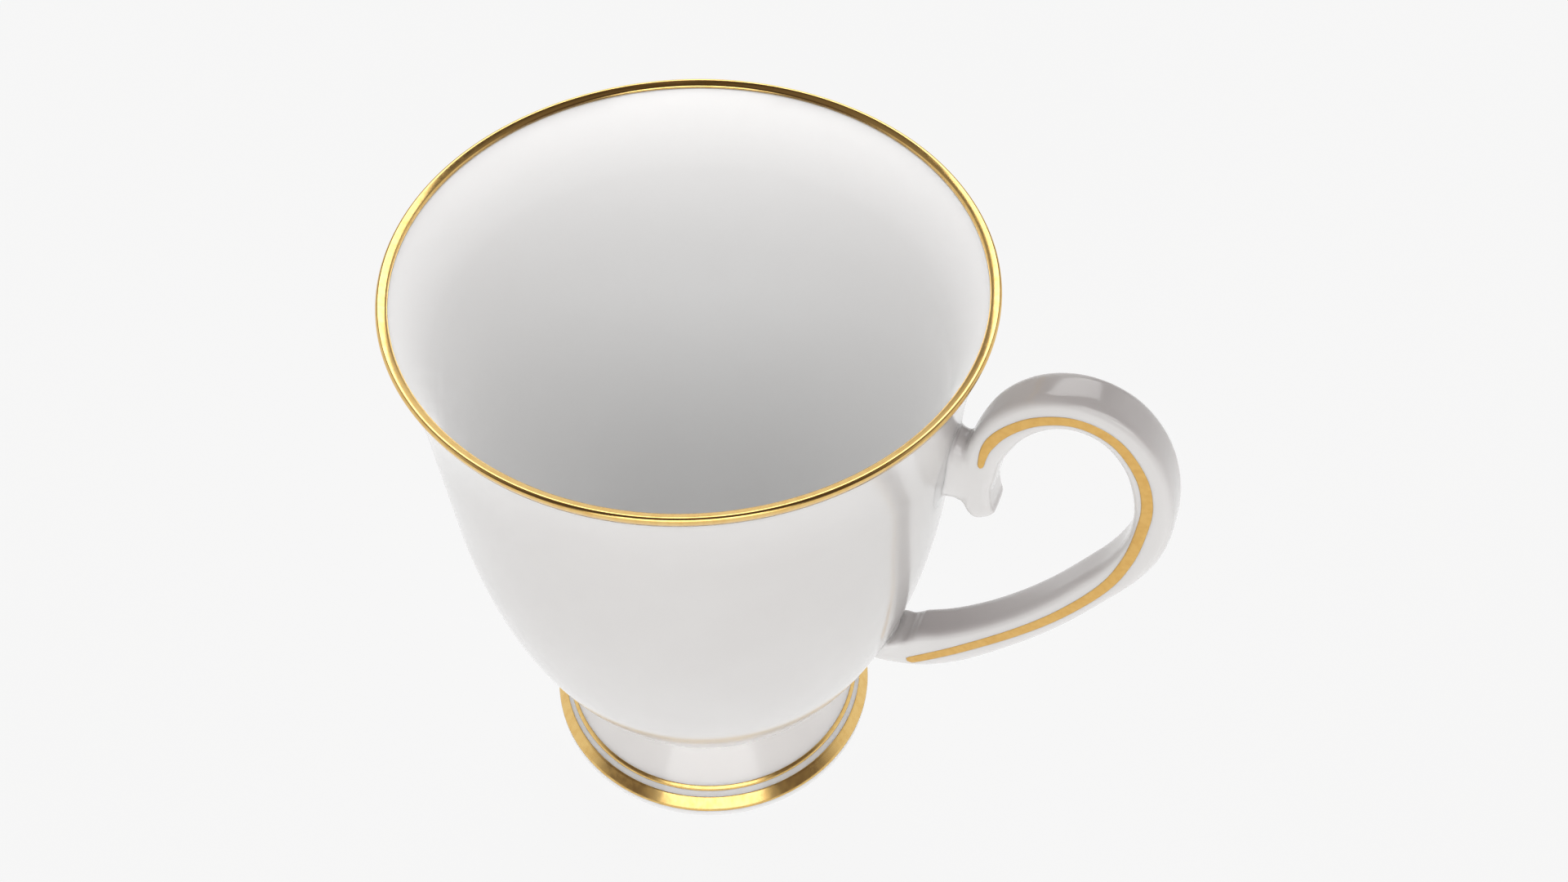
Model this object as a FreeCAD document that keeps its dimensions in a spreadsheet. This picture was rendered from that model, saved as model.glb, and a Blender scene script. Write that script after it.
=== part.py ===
"""Footed teacup with a C-scroll handle and gilded bands, in millimetres.

The cup stands on the plane Z = 0 with its axis on Z, and the handle points along +X.
"""
import FreeCAD, Part
import Sketcher
import math
import os
from FreeCAD import Vector

SIZES = {
    # Bowl: outer section, as radius and height of the points where its arcs meet
    "lip_radius": 41.95,
    "lip_level": 101.3,
    "lip_thickness": 1.4,
    "flare_radius": 38.9,
    "flare_level": 84.0,
    "wall_radius": 37.75,
    "wall_level": 64.0,
    "belly_radius": 33.9,
    "belly_level": 39.3,
    "heel_radius": 23.3,
    "heel_level": 15.4,
    "bowl_bottom": 13.4,
    # Bowl: the same points on the inner side of the wall
    "inner_flare_radius": 36.7,
    "inner_wall_radius": 35.55,
    "inner_belly_radius": 31.7,
    "inner_belly_level": 39.9,
    "inner_heel_radius": 20.6,
    "inner_heel_level": 18.0,
    "inner_bottom": 15.4,
    # Foot
    "foot_radius": 27.8,
    "foot_edge": 1.75,
    "foot_neck_radius": 19.5,
    "foot_top": 12.8,
    "foot_bore_radius": 15.8,
    "foot_hollow_radius": 23.0,
    "foot_hollow_edge": 2.4,
    "foot_ring_radius": 24.2,
    # Gilding
    "gilding_depth": 0.2,
    "rim_gilding_outer": 1.8,
    "rim_gilding_inner": 0.35,
    "wide_gilding_low": 1.8,
    "wide_gilding_high": 3.75,
    "narrow_gilding_low": 4.75,
    "narrow_gilding_high": 5.4,
    "line_width": 1.55,
    # Handle and the slip that holds it
    "handle_width": 6.3,
    "handle_round": 1.9,
    "slip_thickness": 0.6,
    "upper_pad_level": 78.6,
    "upper_pad_tall": 14.4,
    "upper_pad_wide": 8.2,
    "lower_pad_level": 31.4,
    "lower_pad_tall": 13.0,
    "lower_pad_wide": 8.2,
}

# How far a cutting zone reaches past the surface that it cuts
REACH = 1.5
# Where the oval columns that outline the slip pads start along X, and how long they are
PAD_START = 20.0
PAD_LENGTH = 30.0

# Outer edge of the handle, from the notch above its upper root round to its lower root
HANDLE_OUTER = [
    (40.4, 84.9), (42.2, 89.9), (47.0, 97.2), (55.2, 100.5), (63.6, 97.1), (69.2, 88.2),
    (70.2, 77.0), (66.6, 65.4), (60.3, 53.9), (50.8, 40.5), (42.2, 31.4), (34.5, 27.2), (27.0, 25.6),
]
# Inner edge, from the lower root up round the finger gap to the tip of the spur
HANDLE_INNER = [
    (27.0, 34.8), (34.0, 36.1), (40.3, 39.9), (51.2, 50.6), (59.6, 63.2), (64.2, 73.6), (64.6, 82.8),
    (61.6, 90.2), (55.2, 94.5), (49.0, 90.9), (45.9, 84.6), (45.2, 79.0), (46.3, 73.2),
]
SPUR_TIP = [(46.3, 73.2), (44.9, 70.9), (42.9, 72.0)]
SPUR_UNDERSIDE = [(42.9, 72.0), (40.7, 73.8), (38.4, 73.4), (34.0, 71.6)]
ROOT_BACK = [(34.0, 71.6), (34.0, 86.4)]
# Centre of the gold line along the handle's side face
LINE_ROUTE = [
    (43.4, 82.7), (46.0, 91.4), (55.2, 96.9), (64.4, 90.3), (66.4, 79.5),
    (63.2, 64.2), (51.5, 46.2), (36.1, 30.3),
]

doc = FreeCAD.newDocument("footed_teacup")


def make_sheet():
    """Put every driving size in the spreadsheet, one row each, with its alias."""
    sheet = doc.addObject("Spreadsheet::Sheet", "sizes")
    for row, (name, value) in enumerate(SIZES.items(), start=1):
        sheet.set(f"A{row}", name)
        sheet.set(f"B{row}", str(value))
        sheet.setAlias(f"B{row}", name)
    doc.recompute()
    return sheet


def size(name):
    """One driving size, read from the sheet."""
    return float(doc.sizes.get(name))


def plane(body, role):
    """One of a body's own origin planes or axes."""
    return next(item for item in body.Origin.OriginFeatures if item.Role == role)


def make_body(label):
    body = doc.addObject("PartDesign::Body", label)
    body.Label = label
    return body


def make_sketch(body, name, role="XZ_Plane"):
    sketch = body.newObject("Sketcher::SketchObject", name)
    sketch.AttachmentSupport = (plane(body, role), "")
    sketch.MapMode = "FlatFace"
    return sketch


def line(start, end):
    return Part.LineSegment(Vector(*start, 0), Vector(*end, 0))


def arc(start, middle, end):
    """Arc through three points, turned so that it runs anticlockwise, as a sketch needs."""
    turn = (middle[0] - start[0]) * (end[1] - start[1]) - (middle[1] - start[1]) * (end[0] - start[0])
    first, last = (start, end) if turn > 0 else (end, start)
    return Part.Arc(Vector(*first, 0), Vector(*middle, 0), Vector(*last, 0))


def tangent_arc(start, angle, end):
    """Arc from start that leaves at an angle from the vertical, measured downwards and inwards.

    Returns the arc and the angle at its end.
    """
    across, down = start[0] - end[0], start[1] - end[1]
    chord_angle = math.atan(across / down)
    end_angle = 2 * chord_angle - angle
    chord = down / math.cos(chord_angle)
    bulge = chord / 2 * math.tan((end_angle - angle) / 4)
    middle = (
        (start[0] + end[0]) / 2 + bulge * math.cos(chord_angle),
        (start[1] + end[1]) / 2 - bulge * math.sin(chord_angle),
    )
    return arc(start, middle, end), end_angle


def levelling_end(start, angle, level):
    """Point on a level where an arc that leaves start at an angle has turned horizontal."""
    radius = (start[1] - level) / (1 - math.sin(angle))
    return (start[0] - radius * math.cos(angle), level)


def place_point(sketch, geometry, which, radius_name, level_name):
    """Hold one end of a sketch element at sizes from the sheet."""
    for kind, name in (("DistanceX", radius_name), ("DistanceY", level_name)):
        if name:
            point = sketch.getPoint(geometry, which)
            value = point.x if kind == "DistanceX" else point.y
            index = sketch.addConstraint(Sketcher.Constraint(kind, -1, 1, geometry, which, value))
            label = f"{name}_{index}"
            sketch.renameConstraint(index, label)
            sketch.setExpression(f"Constraints.{label}", f"sizes.{name}")


def wall_section(points, bottom, lean):
    """Lip to axis along one side of the bowl's wall: arcs that run smoothly into each other."""
    lip, flare, wall, belly, heel = points
    flare_arc = tangent_arc(flare, lean, lip)[0]
    wall_line = line(flare, wall)
    belly_arc, belly_angle = tangent_arc(wall, lean, belly)
    heel_arc, heel_angle = tangent_arc(belly, belly_angle, heel)
    floor_start = levelling_end(heel, heel_angle, bottom)
    turn_arc = tangent_arc(heel, heel_angle, floor_start)[0]
    return [flare_arc, wall_line, belly_arc, heel_arc, turn_arc, line(floor_start, (0, bottom))]


def outer_points():
    names = ("lip", "flare", "wall", "belly", "heel")
    return [(size(f"{name}_radius"), size(f"{name}_level")) for name in names]


def wall_lean():
    """Angle of the straight part of the wall from the vertical."""
    run = size("flare_radius") - size("wall_radius")
    return math.atan2(run, size("flare_level") - size("wall_level"))


def inner_points():
    lip = (size("lip_radius") - size("lip_thickness"), size("lip_level"))
    flare = (size("inner_flare_radius"), size("flare_level"))
    wall = (size("inner_wall_radius"), size("wall_level"))
    belly = (size("inner_belly_radius"), size("inner_belly_level"))
    return [lip, flare, wall, belly, (size("inner_heel_radius"), size("inner_heel_level"))]


def dress_wall(sketch, first, names, bottom_name):
    """Tangent joins and sheet sizes for one side of the wall, whose first element is given."""
    flare, wall, belly, heel, turn, floor = range(first, first + 6)
    ends = {item: chain_ends(sketch, item) for item in range(first, first + 6)}
    place_point(sketch, wall, 1, names["flare"][0], names["flare"][1])
    place_point(sketch, wall, 2, names["wall"][0], names["wall"][1])
    for item, name in ((belly, "belly"), (heel, "heel")):
        place_point(sketch, item, ends[item][1], names[name][0], names[name][1])
    sketch.addConstraint(Sketcher.Constraint("Tangent", flare, ends[flare][1], wall, 1))
    sketch.addConstraint(Sketcher.Constraint("Tangent", wall, 2, belly, ends[belly][0]))
    sketch.addConstraint(Sketcher.Constraint("Tangent", belly, ends[belly][1], heel, ends[heel][0]))
    sketch.addConstraint(Sketcher.Constraint("Tangent", heel, ends[heel][1], turn, ends[turn][0]))
    sketch.addConstraint(Sketcher.Constraint("Tangent", turn, ends[turn][1], floor, 1))
    sketch.addConstraint(Sketcher.Constraint("Horizontal", floor))
    sketch.addConstraint(Sketcher.Constraint("PointOnObject", floor, 2, -2))
    place_point(sketch, floor, 2, None, bottom_name)


def chain_ends(sketch, item):
    """The point numbers of an element's upper and lower ends."""
    start, end = sketch.getPoint(item, 1), sketch.getPoint(item, 2)
    return (1, 2) if start.y > end.y else (2, 1)


def revolve(body, sketch, name):
    feature = body.newObject("PartDesign::Revolution", name)
    feature.Profile = sketch
    feature.ReferenceAxis = (sketch, ["V_Axis"])
    feature.Angle = 360
    sketch.Visibility = False
    return feature


def make_bowl_blank():
    """The whole bowl, before the lip is gilded."""
    body = make_body("bowl_blank")
    sketch = make_sketch(body, "bowl_section")
    lean = wall_lean()
    outer = wall_section(outer_points(), size("bowl_bottom"), lean)
    inner = wall_section(inner_points(), size("inner_bottom"), lean)
    sketch.addGeometry(outer, False)
    sketch.addGeometry(inner, False)
    lip, lip_inner = outer_points()[0], inner_points()[0]
    half = size("lip_thickness") / 2
    top = (lip[0] - half, lip[1] + half)
    lip_arc = sketch.addGeometry(arc(lip, top, lip_inner), False)
    axis = sketch.addGeometry(line((0, size("inner_bottom")), (0, size("bowl_bottom"))), False)
    count = len(outer)
    outer_names = {name: (f"{name}_radius", f"{name}_level") for name in ("flare", "wall", "belly", "heel")}
    inner_names = {
        "flare": ("inner_flare_radius", "flare_level"),
        "wall": ("inner_wall_radius", "wall_level"),
        "belly": ("inner_belly_radius", "inner_belly_level"),
        "heel": ("inner_heel_radius", "inner_heel_level"),
    }
    dress_wall(sketch, 0, outer_names, "bowl_bottom")
    dress_wall(sketch, count, inner_names, "inner_bottom")
    lip_ends = (1, 2) if sketch.getPoint(lip_arc, 1).x > sketch.getPoint(lip_arc, 2).x else (2, 1)
    outer_top = chain_ends(sketch, 0)[0]
    inner_top = chain_ends(sketch, count)[0]
    sketch.addConstraint(Sketcher.Constraint("Coincident", lip_arc, lip_ends[0], 0, outer_top))
    sketch.addConstraint(Sketcher.Constraint("Coincident", lip_arc, lip_ends[1], count, inner_top))
    place_point(sketch, 0, outer_top, "lip_radius", "lip_level")
    place_point(sketch, count, inner_top, None, "lip_level")
    thickness = sketch.addConstraint(
        Sketcher.Constraint("DistanceX", count, inner_top, 0, outer_top, 2 * half))
    sketch.renameConstraint(thickness, "lip_width")
    sketch.setExpression("Constraints.lip_width", "sizes.lip_thickness")
    place_point(sketch, lip_arc, 3, None, "lip_level")
    sketch.addConstraint(Sketcher.Constraint("Coincident", axis, 1, 2 * count - 1, 2))
    sketch.addConstraint(Sketcher.Constraint("Coincident", axis, 2, count - 1, 2))
    revolve(body, sketch, "bowl_revolve")
    return body


def make_revolved(label, elements, placed):
    """A ring from a closed section of lines and arcs; placed holds its corners at sheet sizes."""
    body = make_body(label)
    sketch = make_sketch(body, f"{label}_section")
    sketch.addGeometry(elements, False)
    for index in range(len(elements)):
        following = (index + 1) % len(elements)
        end = shared_end(sketch, index, following)
        start = shared_end(sketch, following, index)
        sketch.addConstraint(Sketcher.Constraint("Coincident", index, end, following, start))
    for index, radius_name, level_name in placed:
        place_point(sketch, index, shared_end(sketch, index, (index + 1) % len(elements)),
                    radius_name, level_name)
    revolve(body, sketch, f"{label}_revolve")
    return body


def shared_end(sketch, item, other):
    """The end of one element that lies on an end of the other."""
    def gap(which):
        point = sketch.getPoint(item, which)
        return min(point.distanceToPoint(sketch.getPoint(other, end)) for end in (1, 2))
    return 1 if gap(1) < gap(2) else 2


def foot_radius_at(level):
    """Radius of the foot's conical outer face at a level."""
    share = (level - size("foot_edge")) / (size("foot_top") - size("foot_edge"))
    return size("foot_radius") + share * (size("foot_neck_radius") - size("foot_radius"))


def make_foot_blank():
    """The whole pedestal, hollow underneath, before it is gilded."""
    top = (size("foot_neck_radius"), size("foot_top"))
    edge = (size("foot_radius"), size("foot_edge"))
    base = (size("foot_radius"), 0)
    ring = (size("foot_ring_radius"), 0)
    hollow = (size("foot_hollow_radius"), size("foot_hollow_edge"))
    bore = (size("foot_bore_radius"), size("foot_top"))
    corners = [top, edge, base, ring, hollow, bore]
    elements = [line(corner, corners[(i + 1) % len(corners)]) for i, corner in enumerate(corners)]
    placed = [
        (0, "foot_radius", "foot_edge"), (1, "foot_radius", None), (2, "foot_ring_radius", None),
        (3, "foot_hollow_radius", "foot_hollow_edge"), (4, "foot_bore_radius", "foot_top"),
        (5, "foot_neck_radius", "foot_top"),
    ]
    return make_revolved("foot_blank", elements, placed)


def make_rim_zone():
    """Space that the rim's gold takes: round the lip, down to a thin skin of it."""
    depth = size("gilding_depth")
    lip = size("lip_radius")
    level = size("lip_level")
    thickness = size("lip_thickness")
    outer_low = level + thickness / 2 - size("rim_gilding_outer")
    inner_low = level + thickness / 2 - size("rim_gilding_inner")
    half = thickness / 2 - depth
    lean = 2 * math.atan2(lip - size("flare_radius"), level - size("flare_level")) - wall_lean()
    skin_low = (lip - depth - (level - outer_low) * math.tan(lean), outer_low)
    skin_high = (lip - depth, level)
    crown = (lip - thickness / 2, level + half)
    skin_inner_radius = math.sqrt(max(half ** 2 - (inner_low - level) ** 2, 0))
    skin_inner = (lip - thickness / 2 - skin_inner_radius, inner_low)
    outside = lip + REACH
    inside = lip - thickness - REACH
    above = level + thickness + REACH
    elements = [
        line(skin_low, skin_high),
        arc(skin_high, crown, skin_inner),
        line(skin_inner, (inside, inner_low)),
        line((inside, inner_low), (inside, above)),
        line((inside, above), (outside, above)),
        line((outside, above), (outside, outer_low)),
        line((outside, outer_low), skin_low),
    ]
    return make_revolved("rim_gilding_zone", elements, [])


def make_foot_zone(label, low_name, high_name):
    """Space that one gold band takes in the skin of the foot."""
    depth = size("gilding_depth")
    low, high = size(low_name), size(high_name)
    low_radius, high_radius = foot_radius_at(low), foot_radius_at(high)
    slope = math.atan2(low_radius - high_radius, high - low)
    step = (depth * math.cos(slope), depth * math.sin(slope))
    inner_low = (low_radius - step[0], low - step[1])
    inner_high = (high_radius - step[0], high - step[1])
    outer_low = (low_radius + step[0], low + step[1])
    outer_high = (high_radius + step[0], high + step[1])
    corners = [inner_low, outer_low, outer_high, inner_high]
    elements = [line(corners[i], corners[(i + 1) % 4]) for i in range(4)]
    return make_revolved(label, elements, [])


def spline(points):
    curve = Part.BSplineCurve()
    curve.interpolate([Vector(*point, 0) for point in points])
    return curve


def join_in_ring(sketch, count):
    for index in range(count):
        following = (index + 1) % count
        ends = (shared_end(sketch, index, following), shared_end(sketch, following, index))
        sketch.addConstraint(Sketcher.Constraint("Coincident", index, ends[0], following, ends[1]))


def make_handle_blank():
    """The strap and its spur: the side outline, padded to the strap's width and rounded."""
    body = make_body("handle_blank")
    sketch = make_sketch(body, "handle_outline")
    outline = [
        spline(HANDLE_OUTER),
        line(HANDLE_OUTER[-1], HANDLE_INNER[0]),
        spline(HANDLE_INNER),
        arc(*SPUR_TIP),
        spline(SPUR_UNDERSIDE),
        line(*ROOT_BACK),
        line(ROOT_BACK[1], HANDLE_OUTER[0]),
    ]
    sketch.addGeometry(outline, False)
    join_in_ring(sketch, len(outline))
    pad = body.newObject("PartDesign::Pad", "handle_pad")
    pad.Profile = sketch
    pad.Midplane = True
    pad.setExpression("Length", "sizes.handle_width")
    doc.recompute()
    fillet = body.newObject("PartDesign::Fillet", "handle_rounding")
    fillet.Base = (pad, long_edges(pad.Shape))
    fillet.setExpression("Radius", "sizes.handle_round")
    return body


def long_edges(shape):
    """Names of the curved edges that run along the strap's two side faces."""
    side = size("handle_width") / 2
    names = []
    for index, edge in enumerate(shape.Edges, start=1):
        on_side = abs(abs(edge.CenterOfMass.y) - side) < 0.01
        if on_side and not isinstance(edge.Curve, Part.Line):
            names.append(f"Edge{index}")
    return names


def make_line_zone(label, side):
    """Space that the gold line takes in one side face of the handle; side is -1 or +1."""
    body = make_body(label)
    sketch = make_sketch(body, f"{label}_outline")
    half = size("line_width") / 2
    route = spline(LINE_ROUTE)
    edges = {-1: [], 1: []}
    for point in LINE_ROUTE:
        tangent = route.tangent(route.parameter(Vector(*point, 0)))[0]
        normal = Vector(-tangent.y, tangent.x, 0)
        for way in edges:
            edges[way].append((point[0] + way * half * normal.x, point[1] + way * half * normal.y))
    caps = []
    for end, sign in ((-1, 1), (0, -1)):
        tangent = route.tangent(route.parameter(Vector(*LINE_ROUTE[end], 0)))[0]
        tip = Vector(*LINE_ROUTE[end], 0) + tangent * (sign * half)
        caps.append(arc(edges[1][end], (tip.x, tip.y), edges[-1][end]))
    outline = [spline(edges[1]), caps[0], spline(edges[-1][::-1]), caps[1]]
    sketch.addGeometry(outline, False)
    join_in_ring(sketch, len(outline))
    # The sketch's normal points to -Y, so the front face lies on its positive side
    sketch.setExpression(
        "AttachmentOffset.Base.z", f"{-side} * (sizes.handle_width / 2 - sizes.gilding_depth)")
    pad = body.newObject("PartDesign::Pad", f"{label}_pad")
    pad.Profile = sketch
    pad.Length = REACH
    pad.Reversed = side > 0
    return body


def make_slip_shell():
    """Skin of even thickness round the outside of the bowl, where slip can hold the handle."""
    blank = filled_bowl("bowl_core", 0)
    outside = filled_bowl("bowl_clearance", size("slip_thickness"))
    shell = doc.addObject("Part::Cut", "slip_shell")
    shell.Base = outside
    shell.Tool = blank
    return shell, outside


def filled_bowl(label, growth):
    """The bowl's outer shape without its cavity, grown outwards by an even amount."""
    lip, flare, wall, belly, heel = outer_points()
    lean = wall_lean()
    belly_angle = tangent_arc(wall, lean, belly)[1]
    heel_angle = tangent_arc(belly, belly_angle, heel)[1]
    lip_angle = tangent_arc(flare, lean, lip)[1]
    angles = [lip_angle, lean, lean, belly_angle, heel_angle]
    points = []
    for point, angle in zip((lip, flare, wall, belly, heel), angles):
        points.append((point[0] + growth * math.cos(angle), point[1] - growth * math.sin(angle)))
    section = wall_section(points, size("bowl_bottom") - growth, lean)
    top = points[0]
    section += [line((0, size("bowl_bottom") - growth), (0, top[1])), line((0, top[1]), top)]
    return make_revolved(label, section, [])


def make_pad_zone(label, prefix):
    """Oval column along X that gives a slip pad its outline."""
    zone = doc.addObject("Part::Extrusion", label)
    oval = doc.addObject("Part::Ellipse", f"{label}_oval")
    oval.setExpression("MajorRadius", f"sizes.{prefix}_tall / 2")
    oval.setExpression("MinorRadius", f"sizes.{prefix}_wide / 2")
    turn = FreeCAD.Rotation(Vector(0, 0, 1), Vector(0, 1, 0), Vector(1, 0, 0), "XYZ")
    oval.Placement = FreeCAD.Placement(Vector(PAD_START, 0, size(f"{prefix}_level")), turn)
    zone.Base = oval
    zone.DirMode = "Custom"
    zone.Dir = Vector(1, 0, 0)
    zone.LengthFwd = PAD_LENGTH
    zone.Solid = True
    return zone


def combine(kind, label, base, tool):
    item = doc.addObject(kind, label)
    item.Label = label
    if kind == "Part::Cut":
        item.Base = base
        item.Tool = tool
    else:
        item.Shapes = [base, tool]
    return item


def make_foot_joint():
    """Ring of slip between the foot's flat top and the underside of the bowl."""
    ring = doc.addObject("Part::Cut", "foot_joint")
    ring.Label = "foot_joint"
    outer = doc.addObject("Part::Cylinder", "foot_joint_outer")
    inner = doc.addObject("Part::Cylinder", "foot_joint_inner")
    for item, name in ((outer, "foot_neck_radius"), (inner, "foot_bore_radius")):
        item.setExpression("Radius", f"sizes.{name}")
        item.setExpression("Height", "sizes.bowl_bottom - sizes.foot_top")
        item.setExpression("Placement.Base.z", "sizes.foot_top")
    ring.Base = outer
    ring.Tool = inner
    return ring


def build():
    """Make every sub-part and return those that are written out, by name."""
    make_sheet()
    bowl_blank = make_bowl_blank()
    rim_zone = make_rim_zone()
    foot_blank = make_foot_blank()
    wide_zone = make_foot_zone("wide_gilding_zone", "wide_gilding_low", "wide_gilding_high")
    narrow_zone = make_foot_zone("narrow_gilding_zone", "narrow_gilding_low", "narrow_gilding_high")
    handle_blank = make_handle_blank()
    front_zone = make_line_zone("front_line_zone", -1)
    back_zone = make_line_zone("back_line_zone", 1)
    slip_shell, clearance = make_slip_shell()
    bowl = combine("Part::Cut", "bowl", bowl_blank, rim_zone)
    rim = combine("Part::MultiCommon", "rim_gilding", bowl_blank, rim_zone)
    foot_once = combine("Part::Cut", "foot_with_wide_recess", foot_blank, wide_zone)
    foot = combine("Part::Cut", "foot", foot_once, narrow_zone)
    wide = combine("Part::MultiCommon", "wide_foot_gilding", foot_blank, wide_zone)
    narrow = combine("Part::MultiCommon", "narrow_foot_gilding", foot_blank, narrow_zone)
    strap = combine("Part::Cut", "handle_trimmed", handle_blank, clearance)
    strap_once = combine("Part::Cut", "handle_with_front_recess", strap, front_zone)
    handle = combine("Part::Cut", "handle", strap_once, back_zone)
    front = combine("Part::MultiCommon", "front_handle_gilding", strap, front_zone)
    back = combine("Part::MultiCommon", "back_handle_gilding", strap, back_zone)
    upper_zone = make_pad_zone("upper_pad_zone", "upper_pad")
    lower_zone = make_pad_zone("lower_pad_zone", "lower_pad")
    upper = combine("Part::MultiCommon", "upper_handle_joint", slip_shell, upper_zone)
    lower = combine("Part::MultiCommon", "lower_handle_joint", slip_shell, lower_zone)
    return [bowl, foot, handle, make_foot_joint(), upper, lower, rim, wide, narrow, front, back]


def check(pieces):
    """Stop if any object failed, or a sub-part is not one sound solid."""
    for item in doc.Objects:
        if "Invalid" in item.State or "Error" in item.State:
            raise RuntimeError(f"{item.Label} failed: {item.State}")
    for piece in pieces:
        shape = piece.Shape
        if shape.isNull() or not shape.isValid() or len(shape.Solids) != 1:
            raise RuntimeError(f"{piece.Label} is not one sound solid")
        box = shape.optimalBoundingBox(True, False)
        print(f"{piece.Label}: {shape.Volume:.1f} mm3, "
              f"x {box.XMin:.2f}..{box.XMax:.2f} y {box.YMin:.2f}..{box.YMax:.2f} "
              f"z {box.ZMin:.2f}..{box.ZMax:.2f}")


def main():
    pieces = build()
    doc.recompute()
    check(pieces)
    os.makedirs("parts", exist_ok=True)
    for piece in pieces:
        piece.Shape.exportStep(f"parts/{piece.Label}.step")


main()
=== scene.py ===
"""Footed teacup: finished meshes, materials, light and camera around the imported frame, in metres.

The cup stands on Z = 0 with its axis on Z, and the handle points along +X.
Sections are (radius, height) pairs in millimetres, and are scaled when their mesh is made.
"""
import math

import bmesh
import bpy
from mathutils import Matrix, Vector
from mathutils.bvhtree import BVHTree


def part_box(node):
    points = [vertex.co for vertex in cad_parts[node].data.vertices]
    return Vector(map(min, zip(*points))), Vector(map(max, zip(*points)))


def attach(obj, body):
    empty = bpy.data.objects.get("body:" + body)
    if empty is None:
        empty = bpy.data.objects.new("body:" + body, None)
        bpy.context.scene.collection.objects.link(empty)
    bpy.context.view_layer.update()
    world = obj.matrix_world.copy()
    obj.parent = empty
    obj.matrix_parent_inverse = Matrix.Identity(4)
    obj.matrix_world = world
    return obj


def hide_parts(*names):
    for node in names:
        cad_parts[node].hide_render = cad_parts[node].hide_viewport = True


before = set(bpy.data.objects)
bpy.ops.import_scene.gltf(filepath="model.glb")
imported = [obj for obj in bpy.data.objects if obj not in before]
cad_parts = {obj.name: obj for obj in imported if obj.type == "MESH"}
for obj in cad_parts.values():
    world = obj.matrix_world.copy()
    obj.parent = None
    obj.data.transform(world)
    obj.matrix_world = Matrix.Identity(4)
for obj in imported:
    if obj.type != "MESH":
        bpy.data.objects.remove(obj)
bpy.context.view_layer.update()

MM = 0.001
TINY = 1e-9

# Boxes read from the frame, in metres
RIM_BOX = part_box("rim_gilding")
FOOT_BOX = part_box("foot")
WIDE_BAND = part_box("wide_foot_gilding")
NARROW_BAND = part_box("narrow_foot_gilding")
UPPER_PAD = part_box("upper_handle_joint")
LOWER_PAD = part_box("lower_handle_joint")

# Places taken from boxes, and from here on every size of the cup, in millimetres
LIP_RADIUS = RIM_BOX[1][0] / MM
LIP_TOP = RIM_BOX[1][2] / MM
FOOT_RADIUS = FOOT_BOX[1][0] / MM
FOOT_TOP = FOOT_BOX[1][2] / MM
NECK_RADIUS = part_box("foot_joint")[1][0] / MM
BOWL_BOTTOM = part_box("bowl")[0][2] / MM

# The bowl's wall, as the points where its arcs meet, outside and inside
LIP_THICKNESS = 1.4
LIP_LEVEL = LIP_TOP - LIP_THICKNESS / 2
LIP_FALL = 0.64
LIP_OUTER_ROUNDING = 0.4
LIP_INNER_ROUNDING = 0.35
OUTER_WALL = [(LIP_RADIUS, LIP_LEVEL), (38.9, 84.0), (37.75, 64.0), (33.9, 39.3), (23.3, 15.4)]
INNER_WALL = [
    (LIP_RADIUS - LIP_THICKNESS, LIP_LEVEL), (36.7, 84.0), (35.55, 64.0), (31.7, 39.9), (20.6, 18.0),
]
INNER_BOTTOM = 15.4

# The foot: a cone on a standing ring, hollow underneath
FOOT_EDGE = 1.75
FOOT_EDGE_ROUNDING = 0.4
FOOT_HEEL_ROUNDING = 0.3
FOOT_RING_RADIUS = 24.2
FOOT_RING_ROUNDING = 0.4
FOOT_HOLLOW = (23.0, 2.4)
FOOT_HOLLOW_ROUNDING = 1.2
FOOT_BORE_RADIUS = 15.8

# The ring of slip between them: its hollowed outer edge, its seat under the bowl, and its bore
SLIP_RING = [
    (NECK_RADIUS + 0.55, FOOT_TOP - 0.35), (NECK_RADIUS + 0.2, FOOT_TOP + 0.05),
    (NECK_RADIUS + 0.05, FOOT_TOP + 0.3), (NECK_RADIUS + 0.15, BOWL_BOTTOM - 0.05),
    (NECK_RADIUS + 0.6, BOWL_BOTTOM + 0.12), (NECK_RADIUS, BOWL_BOTTOM + 0.15),
    (FOOT_BORE_RADIUS - 0.1, BOWL_BOTTOM + 0.02), (FOOT_BORE_RADIUS - 0.1, FOOT_TOP - 0.1),
    (NECK_RADIUS - 0.3, FOOT_TOP - 0.3),
]

# Gold films: how far they stand proud, sink in, run past the CAD band, and thin out towards an edge
GILDING_RISE = 0.04
GILDING_SINK = 0.12
GILDING_SPREAD = 0.05
GILDING_SOFT_EDGE = 0.12
RIM_GOLD_INSIDE = 0.1

# Handle: stations as x, z, thickness, width, and how far the section leans from square, in degrees
STRAP = [
    (42.9, 76.5, 4.6, 6.0, 0), (43.2, 80.5, 5.0, 6.2, 0), (43.7, 85.2, 5.3, 6.3, 0),
    (46.2, 91.6, 5.7, 6.3, 0), (50.2, 95.9, 5.9, 6.3, 0), (55.2, 97.5, 5.95, 6.3, 0),
    (60.4, 95.9, 5.9, 6.3, 0), (64.7, 90.9, 5.75, 6.3, 0), (67.2, 83.4, 5.6, 6.3, 0),
    (67.4, 75.6, 5.45, 6.3, 0), (65.3, 68.5, 5.35, 6.3, 0), (61.9, 62.0, 5.35, 6.3, 0),
    (58.0, 55.3, 5.5, 6.3, 0), (53.5, 48.8, 5.85, 6.3, 0), (48.4, 42.7, 6.4, 6.3, 0),
    (42.8, 37.1, 7.5, 6.4, -6), (37.6, 33.4, 9.0, 6.5, -24), (34.3, 32.0, 10.0, 6.8, -40),
    (32.4, 31.5, 10.7, 7.2, -50), (31.4, 31.3, 11.2, 7.6, -54), (30.4, 31.1, 11.4, 7.8, -54),
]
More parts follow.
